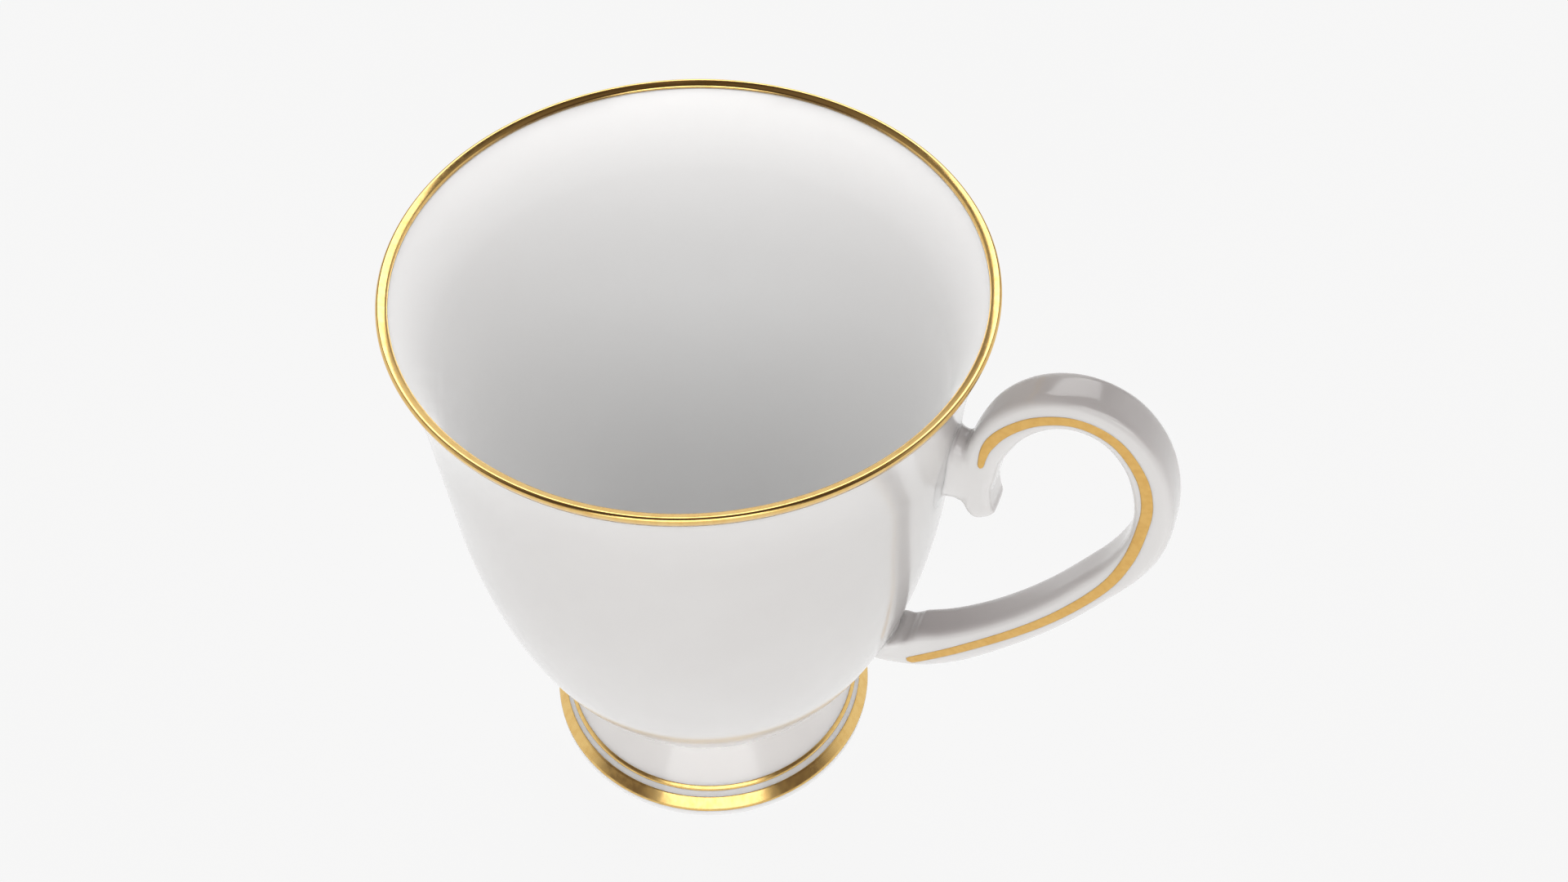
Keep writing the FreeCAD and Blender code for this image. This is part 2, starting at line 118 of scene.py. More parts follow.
ROOT_BAR = [
    (37.5, 78.9, 13.0, 7.3, 0), (38.3, 78.9, 12.9, 7.2, 0), (38.9, 78.9, 12.6, 7.0, 0),
    (39.7, 78.85, 12.4, 6.7, 0), (40.6, 78.8, 12.0, 6.5, 0), (42.0, 78.5, 12.2, 6.3, 0),
    (43.2, 78.0, 12.0, 6.2, 0), (44.4, 78.2, 9.6, 5.8, 0),
]
SPUR = [
    (42.6, 81.0, 4.6, 6.2, 0), (43.0, 78.0, 4.6, 6.2, 0), (43.3, 75.6, 4.7, 6.2, 0),
    (43.8, 73.6, 4.5, 6.2, 0), (44.4, 72.6, 4.3, 6.0, 0), (44.9, 71.9, 3.8, 5.6, 0),
]
# The power of each section's superellipse: 2 is an oval, and more is squarer
STRAP_SQUARENESS = 4.6
ROOT_SQUARENESS = 2.6
# The handle's one skin is made of voxels of this size, and then relaxed in this many rounds
HANDLE_VOXEL = 0.28
SMOOTHING_ROUNDS = 14
SMOOTHING_SHARE = 0.5

# The gold line on the handle's sides, as x, z; it starts at a share of its width and widens
GOLD_LINE = [
    (43.4, 82.7), (43.9, 87.2), (46.0, 91.4), (50.0, 95.2), (55.2, 96.9), (60.4, 95.2), (64.4, 90.3),
    (66.2, 85.0), (66.4, 79.5), (65.6, 72.0), (63.2, 64.2), (57.9, 54.7), (51.5, 46.2), (43.6, 37.5),
    (36.1, 30.3),
]
GOLD_LINE_WIDTH = 1.6
LINE_START_SHARE = 0.5
LINE_TAPER = 6.0
LINE_TIP_SHARE = 0.02
LINE_DOME_POWER = 6
CLEAR_OF_HANDLE = 20.0

# Slip at the handle's roots: how far it spreads past the joint, how high it peaks, how deep it sits,
# and how far its edge dips under the wall's face
BEAD_MARGIN = 1.2
BEAD_HEIGHT = 2.6
BEAD_SINK = 0.5
BEAD_EDGE_DIP = 0.01
# The slip that shows is this much wider and higher than the fillet in the handle's own skin
SLIP_SPREAD = 0.7
SLIP_RISE = 0.15

# How finely the meshes are divided: steps round or along each stretch, and longest sides
AROUND = 256
CORNER_STEPS = 6
FLARE_STEPS = 28
UPRIGHT_STEPS = 10
BELLY_STEPS = 16
HEEL_STEPS = 20
TURN_STEPS = 14
FLOOR_STEPS = 8
STRAP_AROUND = 40
STRAP_STEPS = 6
BEAD_AROUND = 96
BEAD_RINGS = 16
LINE_STEPS = 14
LINE_COLUMNS = 10
FOOT_SIDE = 0.8
GILDING_SIDE = 0.4

# Colours, and the places where they change, in metres
LIGHT_GLAZE = (0.785, 0.775, 0.765)
DEEP_GLAZE = (0.765, 0.752, 0.742)
BISCUIT = (0.66, 0.63, 0.58, 1)
BARE_RING = (0.00012, 0.00032)
# Painted shade and light inside the bowl: a darker well, a whiter lip, and a painted glow (emission
# strength) that rises near the lip
WELL_PAINTED_SHADE = (0.72, 0.722, 0.722, 1)
LIP_PAINTED_LIGHT = (0.895, 0.895, 0.893, 1)
WELL_TO_LIP = (0.02, 0.1)
PAINTED_GLOW_STRENGTH = (0.105, 0.205)
GLOW_RISES = (0.088, 0.1)
MIDDLE_OF_BOWL = (0, 0, 0.075)
# Painted shade on the handle: a grey laid on its upward faces, strongest round the finger gap
PAINTED_SHADE_GREY = (0.47, 0.435, 0.435, 1)
MIDDLE_OF_FINGER_GAP = (0.056, 0, 0.075)
SHADE_OUTSIDE_GAP = 0.5
SHADE_INSIDE_GAP = 0.82
HANDLE_CLEARS_BOWL = (0.030, 0.037)
FACING_BLUR = 0.001
GOLD = (0.82, 0.56, 0.21, 1)
THIN_GOLD = (0.77, 0.49, 0.16, 1)
MATT_GOLD = (0.76, 0.465, 0.125, 1)
THIN_MATT_GOLD = (0.70, 0.41, 0.10, 1)
EVEN = (1, 1, 1)
FLAT_STROKES = (1, 1, 0.15)

# The view: it looks this far to the left of the handle's far side, and this far down
VIEW_HEADING = math.radians(-21.0)
VIEW_PITCH = math.radians(50.014)
VIEW_PLACE = (0.06964, -0.1460, 0.2588)
VIEW_LENS = 38.15
VIEW_SENSOR = 36.0
VIEW_NEAREST = 0.01

# The studio's walls, from the viewer's side (0) round either way to straight ahead (1)
WALLS_AROUND = [
    (0.0, (0.5, 0.5, 0.5)), (0.16, (0.5, 0.49, 0.49)),
    (0.22, (0.145, 0.112, 0.098)), (0.36, (0.145, 0.112, 0.098)),
    (0.46, (0.8, 0.79, 0.79)), (0.70, (0.85, 0.84, 0.84)),
    (0.78, (0.3, 0.28, 0.28)), (0.88, (0.3, 0.28, 0.28)),
    (0.94, (0.95, 0.95, 0.95)), (1.0, (0.95, 0.95, 0.95)),
]
# What the walls are multiplied by, from level (0) to overhead (1)
WALLS_UPWARD = [
    (0.0, (1, 1, 1)), (0.5, (1, 1, 1)), (0.75, (0.37, 0.345, 0.325)), (1.0, (0.175, 0.135, 0.105)),
]
FLOOR_REACH = 6.0
LIT_POINT = (0, 0, 0.05)


# ---------------------------------------------------------------- sections

def bend(start, angle, end, count):
    """Points along the arc from start to end that leaves start at an angle from the vertical.

    The angle is measured downwards and inwards. Returns the points after start, and the angle at the end.
    """
    across, down = start[0] - end[0], start[1] - end[1]
    chord_angle = math.atan(across / down)
    last = 2 * chord_angle - angle
    radius = down / math.cos(chord_angle) / (2 * math.sin((last - angle) / 2))
    points = []
    for i in range(1, count + 1):
        turn = angle + (last - angle) * i / count
        points.append((start[0] + radius * (math.cos(turn) - math.cos(angle)),
                       start[1] - radius * (math.sin(turn) - math.sin(angle))))
    return points, last


def straight(start, end, count):
    """Evenly spaced points after start, up to end."""
    return [(start[0] + (end[0] - start[0]) * i / count, start[1] + (end[1] - start[1]) * i / count)
            for i in range(1, count + 1)]


def level_out(start, angle, level, count):
    """The arc from start that turns horizontal as it reaches a level."""
    radius = (start[1] - level) / (1 - math.sin(angle))
    end = (start[0] - radius * math.cos(angle), level)
    return bend(start, angle, end, count)[0]


def wall_lean(wall):
    """How far the wall's straight stretch leans from the vertical."""
    return math.atan2(wall[1][0] - wall[2][0], wall[1][1] - wall[2][1])


def wall_section(wall, bottom):
    """One side of the bowl's wall, from the lip down to the axis."""
    lip, flare, straight_end, belly, heel = wall
    lean = wall_lean(wall)
    upper = bend(flare, lean, lip, FLARE_STEPS)[0][::-1]
    middle = [flare] + straight(flare, straight_end, UPRIGHT_STEPS)
    lower, angle = bend(straight_end, lean, belly, BELLY_STEPS)
    lowest, angle = bend(belly, angle, heel, HEEL_STEPS)
    turn = level_out(heel, angle, bottom, TURN_STEPS)
    floor = straight(turn[-1], (0.0, bottom), FLOOR_STEPS)
    return upper + middle + lower + lowest + turn + floor


def wall_above(wall, bottom, level):
    """The part of one side of the wall that lies above a level, cut exactly there."""
    section = wall_section(wall, bottom)
    kept = [point for point in section if point[1] > level]
    upper, lower = kept[-1], section[len(kept)]
    share = (upper[1] - level) / (upper[1] - lower[1])
    return kept + [(upper[0] + share * (lower[0] - upper[0]), level)]


def rounded(corners):
    """A closed section whose corners, given as radius, height and rounding, are cut by arcs."""
    points = []
    count = len(corners)
    for i, (x, z, rounding) in enumerate(corners):
        if rounding == 0:
            points.append((x, z))
            continue
        here = Vector((x, z))
        before = (Vector(corners[i - 1][:2]) - here).normalized()
        after = (Vector(corners[(i + 1) % count][:2]) - here).normalized()
        half = before.angle(after) / 2
        reach = rounding / math.tan(half)
        centre = here + (before + after).normalized() * (rounding / math.sin(half))
        first = here + before * reach - centre
        last = here + after * reach - centre
        start = math.atan2(first.y, first.x)
        sweep = math.remainder(math.atan2(last.y, last.x) - start, 2 * math.pi)
        for step in range(CORNER_STEPS + 1):
            turn = start + sweep * step / CORNER_STEPS
            points.append((centre.x + rounding * math.cos(turn), centre.y + rounding * math.sin(turn)))
    return points


def lip_curve():
    """The lip between the tops of the two walls: a crisp outer edge and a top that falls inwards."""
    inner = LIP_RADIUS - LIP_THICKNESS
    corners = [
        (LIP_RADIUS, LIP_LEVEL, 0), (LIP_RADIUS, LIP_TOP, LIP_OUTER_ROUNDING),
        (inner, LIP_TOP - LIP_FALL, LIP_INNER_ROUNDING), (inner, LIP_LEVEL, 0),
    ]
    return rounded(corners)[1:-1]


def foot_radius_at(level):
    """Radius of the foot's conical face at a level."""
    share = (level - FOOT_EDGE) / (FOOT_TOP - FOOT_EDGE)
    return FOOT_RADIUS + share * (NECK_RADIUS - FOOT_RADIUS)


def divided(section, longest):
    """A closed section with its long sides divided."""
    points = []
    for i, point in enumerate(section):
        following = section[(i + 1) % len(section)]
        count = max(1, math.ceil(math.dist(point, following) / longest))
        points += [point] + straight(point, following, count)[:-1]
    return points


def neighbours(route, i):
    """The points before and after one on a route, where an end stands in for what lies beyond it."""
    return route[max(i - 1, 0)], route[min(i + 1, len(route) - 1)]


# ---------------------------------------------------------------- meshes

def finish_mesh(name, mesh, material, slot, *nodes):
    """Put a mesh in the scene as a piece of the cup that stands for some CAD nodes."""
    work = bmesh.new()
    work.from_mesh(mesh)
    bmesh.ops.recalc_face_normals(work, faces=work.faces)
    work.to_mesh(mesh)
    work.free()
    for face in mesh.polygons:
        face.use_smooth = True
    piece = bpy.data.objects.new(name, mesh)
    bpy.context.scene.collection.objects.link(piece)
    mesh.materials.clear()
    mesh.materials.append(material)
    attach(piece, "root")
    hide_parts(*nodes)
    return piece


def band_faces(first, second, around):
    """Faces between two closed rings of vertices, given where each ring starts."""
    return [(first + k, first + (k + 1) % around, second + (k + 1) % around, second + k)
            for k in range(around)]


def fan_faces(pole, first, around):
    """Faces from one vertex to a closed ring of vertices."""
    return [(pole, first + k, first + (k + 1) % around) for k in range(around)]


def revolved(name, section):
    """Mesh of a section turned round Z; a section that starts and ends on the axis closes there."""
    on_axis = abs(section[-1][0]) < TINY
    rings = [point for point in section if abs(point[0]) > TINY]
    verts = []
    for radius, height in rings:
        for i in range(AROUND):
            turn = 2 * math.pi * i / AROUND
            verts.append((radius * MM * math.cos(turn), radius * MM * math.sin(turn), height * MM))
    faces = []
    spans = len(rings) - 1 if on_axis else len(rings)
    for row in range(spans):
        faces += band_faces(row * AROUND, (row + 1) % len(rings) * AROUND, AROUND)
    if on_axis:
        for row, height in ((0, section[0][1]), (len(rings) - 1, section[-1][1])):
            faces += fan_faces(len(verts), row * AROUND, AROUND)
            verts.append((0.0, 0.0, height * MM))
    mesh = bpy.data.meshes.new(name)
    mesh.from_pydata(verts, [], faces)
    return mesh


def between(before, start, end, after, t):
    """Value of a Catmull-Rom curve at a share t of the way from start to end."""
    return 0.5 * (2 * start + (end - before) * t + (2 * before - 5 * start + 4 * end - after) * t * t
                  + (3 * start - before - 3 * end + after) * t ** 3)


def smooth_route(points, steps):
    """Points of a Catmull-Rom curve through points of any size, the last one included."""
    route = []
    last = len(points) - 1
    for i in range(last):
        stretch = points[max(i - 1, 0)], points[i], points[i + 1], points[min(i + 2, last)]
        for step in range(steps):
            route.append(tuple(between(*values, step / steps) for values in zip(*stretch)))
    route.append(tuple(points[-1]))
    return route


def signed_power(value, power):
    """A power of a value's size, with the value's own sign."""
    return math.copysign(abs(value) ** power, value)


def strap_loops(stations, squareness):
    """Vertices and faces of a closed strap along stations in the XZ plane, rounded-oblong across."""
    route = smooth_route(stations, STRAP_STEPS)
    verts, faces = [], []
    for i, (x, z, thickness, width, lean) in enumerate(route):
        before, after = neighbours(route, i)
        direction = math.atan2(after[1] - before[1], after[0] - before[0]) + math.radians(lean)
        across = Vector((-math.sin(direction), 0, math.cos(direction)))
        for k in range(STRAP_AROUND):
            turn = 2 * math.pi * k / STRAP_AROUND
            u = signed_power(math.cos(turn), 2 / squareness) * thickness / 2
            v = signed_power(math.sin(turn), 2 / squareness) * width / 2
            verts.append(Vector((x, 0, z)) * MM + across * u * MM + Vector((0, v * MM, 0)))
    last = (len(route) - 1) * STRAP_AROUND
    for first in range(0, last, STRAP_AROUND):
        faces += band_faces(first, first + STRAP_AROUND, STRAP_AROUND)
    faces.append(tuple(range(STRAP_AROUND))[::-1])
    faces.append(tuple(range(last, last + STRAP_AROUND)))
    return verts, faces


def merged(name, parts):
    """One smooth closed skin round several overlapping closed parts."""
    verts, faces = [], []
    for part_verts, part_faces in parts:
        base = len(verts)
        verts += part_verts
        faces += [tuple(base + i for i in face) for face in part_faces]
    rough = bpy.data.meshes.new(name + "_rough")
    rough.from_pydata(verts, [], faces)
    holder = bpy.data.objects.new(name + "_rough", rough)
    bpy.context.scene.collection.objects.link(holder)
    remesh = holder.modifiers.new("skin", "REMESH")
    remesh.mode = "VOXEL"
    remesh.voxel_size = HANDLE_VOXEL * MM
    remesh.use_smooth_shade = True
    relax = holder.modifiers.new("relax", "SMOOTH")
    relax.factor = SMOOTHING_SHARE
    relax.iterations = SMOOTHING_ROUNDS
    graph = bpy.context.evaluated_depsgraph_get()
    mesh = bpy.data.meshes.new_from_object(holder.evaluated_get(graph))
    mesh.name = name
    bpy.data.objects.remove(holder)
    bpy.data.meshes.remove(rough)
    return mesh


def tree_of(mesh):
    """A mesh's faces, ready for ray casts."""
    work = bmesh.new()
    work.from_mesh(mesh)
    tree = BVHTree.FromBMesh(work)
    work.free()
    return tree


# ---------------------------------------------------------------- materials

class Nodes:
    """A node tree, with short ways to add and join its nodes."""

    # A Mix node has sockets for every kind of value, so those for a colour are found by their places
    MIX_AMOUNT = 0
    MIX_FIRST = 6
    MIX_SECOND = 7
    MIX_RESULT = 2

    def __init__(self, tree):
        self.tree = tree

    def add(self, kind, **settings):
        """A new node, with each setting given to its property or input of that name."""
        node = self.tree.nodes.new(kind)
        for key, value in settings.items():
            if hasattr(node, key):
                setattr(node, key, value)
            else:
                node.inputs[key.replace("_", " ")].default_value = value
        return node

    def feed(self, value, target):
        """Join an output to an input, or set the input to a constant."""
        if isinstance(value, bpy.types.NodeSocket):
            self.tree.links.new(value, target)
        else:
            target.default_value = value

    def math(self, operation, *values):
        """The outcome of a sum on one or two values."""
        node = self.add("ShaderNodeMath", operation=operation)
        for value, target in zip(values, node.inputs):
            self.feed(value, target)
        return node.outputs["Value"]

    def parts(self, vector):
        """The X, Y and Z of a vector."""
        node = self.add("ShaderNodeSeparateXYZ")
        self.feed(vector, node.inputs["Vector"])
        return node.outputs

    def place(self):
        """The shaded point, in the piece's own frame."""
        return self.add("ShaderNodeTexCoord").outputs["Object"]

    def normal(self):
        """The direction that the surface faces."""
        return self.add("ShaderNodeNewGeometry").outputs["Normal"]

    def noise(self, scale, detail, stretch=EVEN):
        """Smooth noise from 0 to 1; a stretch below 1 draws its marks out along that axis."""
        spread = self.add("ShaderNodeMapping", Scale=stretch)
        noise = self.add("ShaderNodeTexNoise", Scale=scale, Detail=detail)
        self.feed(self.place(), spread.inputs["Vector"])
        self.feed(spread.outputs["Vector"], noise.inputs["Vector"])
        return noise.outputs["Fac"]

    def ramp(self, source, low, high, start=0.0, end=1.0):
        """Goes from low to high while the source goes from start to end, and levels off past both."""
        node = self.add("ShaderNodeMapRange", From_Min=start, From_Max=end, To_Min=low, To_Max=high)
        self.feed(source, node.inputs["Value"])
        return node.outputs["Result"]

    def blend(self, amount, first, second, kind="MIX"):
        """Colour between two others, or a product of them if the kind says so."""
        node = self.add("ShaderNodeMix", data_type="RGBA", blend_type=kind)
        self.feed(amount, node.inputs[self.MIX_AMOUNT])
        self.feed(first, node.inputs[self.MIX_FIRST])
        self.feed(second, node.inputs[self.MIX_SECOND])
        return node.outputs[self.MIX_RESULT]

    def colours(self, source, stops):
        """Colour that follows a value through stops of position and colour."""
        node = self.add("ShaderNodeValToRGB")
        elements = node.color_ramp.elements
        while len(elements) < len(stops):
            elements.new(0.5)
        for element, (position, colour) in zip(elements, stops):
            element.position = position
            element.color = (*colour, 1)
        self.feed(source, node.inputs["Fac"])
        return node.outputs["Color"]


class Surface(Nodes):
    """The nodes of a new material, round its Principled shader."""

    def __init__(self, name, **values):
        self.material = bpy.data.materials.new(name)
        self.material.use_nodes = True
        super().__init__(self.material.node_tree)
        self.shader = self.tree.nodes["Principled BSDF"]
        for key, value in values.items():
            self.shade(key.replace("_", " "), value)

    def shade(self, name, value):
        """Feed one of the shader's inputs."""
        self.feed(value, self.shader.inputs[name])

    def bump(self, source, strength, distance):
        """Raise and sink the surface with a source, in the light only."""
        node = self.add("ShaderNodeBump", Strength=strength, Distance=distance)
        self.feed(source, node.inputs["Height"])
        self.shade("Normal", node.outputs["Normal"])


def inner_side(nodes, middle):
    """1 where the surface faces a middle, 0 where it faces away from it."""
    from_middle = nodes.add("ShaderNodeVectorMath", operation="SUBTRACT")
    nodes.feed(nodes.place(), from_middle.inputs[0])
    nodes.feed(middle, from_middle.inputs[1])
    facing = nodes.add("ShaderNodeVectorMath", operation="DOT_PRODUCT")
    nodes.feed(from_middle.outputs["Vector"], facing.inputs[0])
    nodes.feed(nodes.normal(), facing.inputs[1])
    return nodes.ramp(facing.outputs["Value"], 1.0, 0.0, start=-FACING_BLUR, end=FACING_BLUR)


def bowl_painted_light_and_shade(nodes, body):
    """Painted shade and light inside the bowl: darker down in the well, whiter towards the lip, and a
    painted glow (emission) that rises near the lip.
    """
    height = nodes.parts(nodes.place())["Z"]
    inside = nodes.blend(nodes.ramp(height, 0.0, 1.0, *WELL_TO_LIP), WELL_PAINTED_SHADE, LIP_PAINTED_LIGHT)
    facing_in = inner_side(nodes, MIDDLE_OF_BOWL)
    painted_glow = nodes.ramp(height, *PAINTED_GLOW_STRENGTH, *GLOW_RISES)
    nodes.shade("Emission Strength", nodes.math("MULTIPLY", facing_in, painted_glow))
    return nodes.blend(facing_in, body, inside)


def handle_painted_shade(nodes, body):
    """Painted shade: greyer on the faces that look up, most of all round the finger gap, and fading out
    near the bowl.
    """
    upward = nodes.ramp(nodes.parts(nodes.normal())["Z"], 0.0, 1.0, start=0.15, end=0.75)
    gap_shade = nodes.ramp(inner_side(nodes, MIDDLE_OF_FINGER_GAP), SHADE_OUTSIDE_GAP, SHADE_INSIDE_GAP)
    clear_of_bowl = nodes.ramp(nodes.parts(nodes.place())["X"], 0.0, 1.0, *HANDLE_CLEARS_BOWL)
    amount = nodes.math("MULTIPLY", nodes.math("MULTIPLY", upward, gap_shade), clear_of_bowl)
    return nodes.blend(amount, body, PAINTED_SHADE_GREY)


def plain_tone(nodes, body):
    """The same all over."""
    return body


def make_porcelain(name, tone, glow, shading):
    """White china under a clear glaze; glow is how far light travels in it, in metres."""
    nodes = Surface(name, IOR=1.5, Coat_Weight=0.3, Coat_Roughness=0.12, Coat_IOR=1.5,
                    Subsurface_Weight=1.0, Subsurface_Radius=(1.0, 1.0, 1.0), Subsurface_Scale=glow,
                    Emission_Color=(1, 1, 1, 1))
    light = (*(tone * value for value in LIGHT_GLAZE), 1)
    deep = (*(tone * value for value in DEEP_GLAZE), 1)
    clouds = nodes.ramp(nodes.noise(scale=45.0, detail=3.0), 0.0, 1.0, start=0.35, end=0.65)
    glazed = shading(nodes, nodes.blend(clouds, light, deep))
    bare = nodes.ramp(nodes.parts(nodes.place())["Z"], 1.0, 0.0, *BARE_RING)
    nodes.shade("Base Color", nodes.blend(bare, glazed, BISCUIT))
    gloss = nodes.ramp(nodes.noise(scale=160.0, detail=2.0), 0.12, 0.16)
    nodes.shade("Roughness", nodes.math("MAXIMUM", gloss, nodes.ramp(bare, 0.0, 0.6)))
    nodes.bump(nodes.noise(scale=140.0, detail=1.0), strength=0.03, distance=0.0003)
    return nodes.material


def make_gold(name, colour, thin_colour, roughness, metallic, stretch, ripple):
    """Gold over glaze: brush marks, with thin places a little redder."""
    nodes = Surface(name, Metallic=metallic, Coat_Weight=0.0, IOR=1.5)
    marks = nodes.noise(scale=900.0, detail=3.0, stretch=stretch)
    thin = nodes.ramp(marks, 0.0, 1.0, start=0.4, end=0.75)
    nodes.shade("Base Color", nodes.blend(thin, colour, thin_colour))
    rough = nodes.ramp(marks, roughness * 0.8, roughness * 1.35, start=0.3, end=0.7)
    nodes.shade("Roughness", rough)
    waves = nodes.noise(scale=420.0, detail=2.0, stretch=stretch)
    nodes.bump(waves, strength=ripple, distance=0.0002)
    return nodes.material


# Four copies of one china whose tones are set apart as painted light and shade: the foot is lightened and
# the bowl darkened
BOWL_PORCELAIN = make_porcelain("white_porcelain", tone=0.90, glow=0.0025, shading=bowl_painted_light_and_shade)
FOOT_PORCELAIN = make_porcelain("foot_porcelain", tone=1.105, glow=0.003, shading=plain_tone)
HANDLE_PORCELAIN = make_porcelain("handle_porcelain", tone=1.0, glow=0.0008, shading=handle_painted_shade)
SLIP = make_porcelain("fired_slip", tone=0.93, glow=0.002, shading=plain_tone)
BURNISHED = make_gold("burnished_gold", GOLD, THIN_GOLD, roughness=0.14, metallic=1.0,
                      stretch=FLAT_STROKES, ripple=0.006)
WORN = make_gold("worn_gold", GOLD, THIN_GOLD, roughness=0.19, metallic=1.0,
                 stretch=FLAT_STROKES, ripple=0.006)
PAINTED = make_gold("painted_gold", MATT_GOLD, THIN_MATT_GOLD, roughness=0.42, metallic=0.35,
                    stretch=EVEN, ripple=0.06)


# ---------------------------------------------------------------- pieces

def make_bowl():
    """The bowl's whole skin, outside, lip and inside."""
    outer = wall_section(OUTER_WALL, BOWL_BOTTOM)
    inner = wall_section(INNER_WALL, INNER_BOTTOM)
    mesh = revolved("bowl_china", outer[::-1] + lip_curve() + inner)
    finish_mesh("bowl_china", mesh, BOWL_PORCELAIN, "porcelain", "bowl")


def make_foot():
    """Hollow cone with softened edges."""
    section = rounded([
        (NECK_RADIUS, FOOT_TOP, 0), (FOOT_RADIUS, FOOT_EDGE, FOOT_EDGE_ROUNDING),
        (FOOT_RADIUS, 0, FOOT_HEEL_ROUNDING), (FOOT_RING_RADIUS, 0, FOOT_RING_ROUNDING),
        (*FOOT_HOLLOW, FOOT_HOLLOW_ROUNDING), (FOOT_BORE_RADIUS, FOOT_TOP, 0),
    ])
    mesh = revolved("foot_china", divided(section, FOOT_SIDE))
    finish_mesh("foot_china", mesh, FOOT_PORCELAIN, "porcelain", "foot")


def make_foot_joint():
    """Ring of slip whose outer edge is wiped to a small hollow between the foot and the bowl."""
    mesh = revolved("foot_slip_ring", SLIP_RING)
    finish_mesh("foot_slip_ring", mesh, SLIP, "fired_slip", "foot_joint")


def make_foot_band(name, box, node):
    """Film of gold round the cone of the foot, with thin soft edges."""
    slope = math.atan2(FOOT_RADIUS - NECK_RADIUS, FOOT_TOP - FOOT_EDGE)
    low = box[0][2] / MM + GILDING_SINK * math.sin(slope) - GILDING_SPREAD
    high = box[1][2] / MM + GILDING_SPREAD

    def at(level, lift):
        return (foot_radius_at(level) + lift * math.cos(slope), level + lift * math.sin(slope))

    section = [
        at(low, -GILDING_SINK), at(low, 0.0), at(low + GILDING_SOFT_EDGE, GILDING_RISE),
        at(high - GILDING_SOFT_EDGE, GILDING_RISE), at(high, 0.0), at(high, -GILDING_SINK),
    ]
    mesh = revolved(name, divided(section, GILDING_SIDE))
    finish_mesh(name, mesh, WORN, "burnished_gold", node)


def make_rim_band():
    """Film of gold that wraps the lip, lower outside than inside."""
    outer = wall_above(OUTER_WALL, BOWL_BOTTOM, RIM_BOX[0][2] / MM)
    inner = wall_above(INNER_WALL, INNER_BOTTOM, LIP_LEVEL - RIM_GOLD_INSIDE)
    skin = outer[::-1] + lip_curve() + inner
    edges = (0, len(skin) - 1)
    lifted, sunk = [], []
    for i, point in enumerate(skin):
        before, after = neighbours(skin, i)
        along = (Vector(after) - Vector(before)).normalized()
        out = Vector((along.y, -along.x))
        rise = 0.0 if i in edges else GILDING_RISE
        lifted.append(tuple(Vector(point) + out * rise))
        sunk.append(tuple(Vector(point) - out * GILDING_SINK))
    mesh = revolved("rim_gold", lifted + sunk[::-1])
    finish_mesh("rim_gold", mesh, BURNISHED, "burnished_gold", "rim_gilding")


def make_handle():
    """The strap, its root bar and its spur, with the slip at both roots, in one glazed skin."""
    parts = [
        strap_loops(STRAP, STRAP_SQUARENESS), strap_loops(ROOT_BAR, ROOT_SQUARENESS),
        strap_loops(SPUR, STRAP_SQUARENESS),
    ]
    parts += [bead_shape(box, BEAD_MARGIN, BEAD_HEIGHT) for box in (UPPER_PAD, LOWER_PAD)]
    mesh = merged("handle_china", parts)
    return finish_mesh("handle_china", mesh, HANDLE_PORCELAIN, "porcelain", "handle")


def bowl_radius_at(height, section):
    """Outer radius of the bowl at a height, in millimetres."""
    for upper, lower in zip(section, section[1:]):
        if lower[1] <= height <= upper[1]:
            share = (height - lower[1]) / max(upper[1] - lower[1], TINY)
            return lower[0] + (upper[0] - lower[0]) * share
    raise ValueError(height)


def bead_shape(box, margin, height):
    """Oval bead of slip on the bowl's wall, hollowed from a peak in its middle to a feather edge."""
    section = wall_section(OUTER_WALL, BOWL_BOTTOM)
    middle = (box[0][2] + box[1][2]) / 2 / MM
    tall = (box[1][2] - box[0][2]) / 2 / MM + margin
    wide = (box[1][1] - box[0][1]) / 2 / MM + margin
    verts, faces = [], []
    for on_top in (True, False):
        for ring in range(BEAD_RINGS + 1):
            share = ring / BEAD_RINGS
            lift = height * (1 - share) ** 2 - BEAD_EDGE_DIP if on_top else -BEAD_SINK
            for k in range(BEAD_AROUND if ring else 1):
                turn = 2 * math.pi * k / BEAD_AROUND
                y = share * wide * math.cos(turn)
                z = middle + share * tall * math.sin(turn)
                radius = bowl_radius_at(z, section) + lift
                verts.append(Vector((math.sqrt(radius ** 2 - y ** 2), y, z)) * MM)
    per_side = BEAD_AROUND * BEAD_RINGS + 1
    for base in (0, per_side):
        faces += fan_faces(base, base + 1, BEAD_AROUND)
        for ring in range(BEAD_RINGS - 1):
            first = base + 1 + ring * BEAD_AROUND
            faces += band_faces(first, first + BEAD_AROUND, BEAD_AROUND)
    edge = 1 + (BEAD_RINGS - 1) * BEAD_AROUND
    faces += band_faces(edge, per_side + edge, BEAD_AROUND)
    return verts, faces


def make_bead(name, box, node):
    """The slip that shows as a feather edge round one root of the handle."""
    verts, faces = bead_shape(box, BEAD_MARGIN + SLIP_SPREAD, BEAD_HEIGHT + SLIP_RISE)
    mesh = bpy.data.meshes.new(name)
    mesh.from_pydata(verts, [], faces)
    finish_mesh(name, mesh, SLIP, "fired_slip", node)


def line_half_width(travelled, remaining):
    """Half the gold line's width at a place on it: round at both tips, and narrower near its start."""
    half = GOLD_LINE_WIDTH / 2
    from_tip = min(travelled, remaining, half) / half
    tip = math.sqrt(max(1 - (1 - from_tip) ** 2, LINE_TIP_SHARE ** 2))
    taper = LINE_START_SHARE + (1 - LINE_START_SHARE) * min(travelled / LINE_TAPER, 1)
    return half * tip * taper


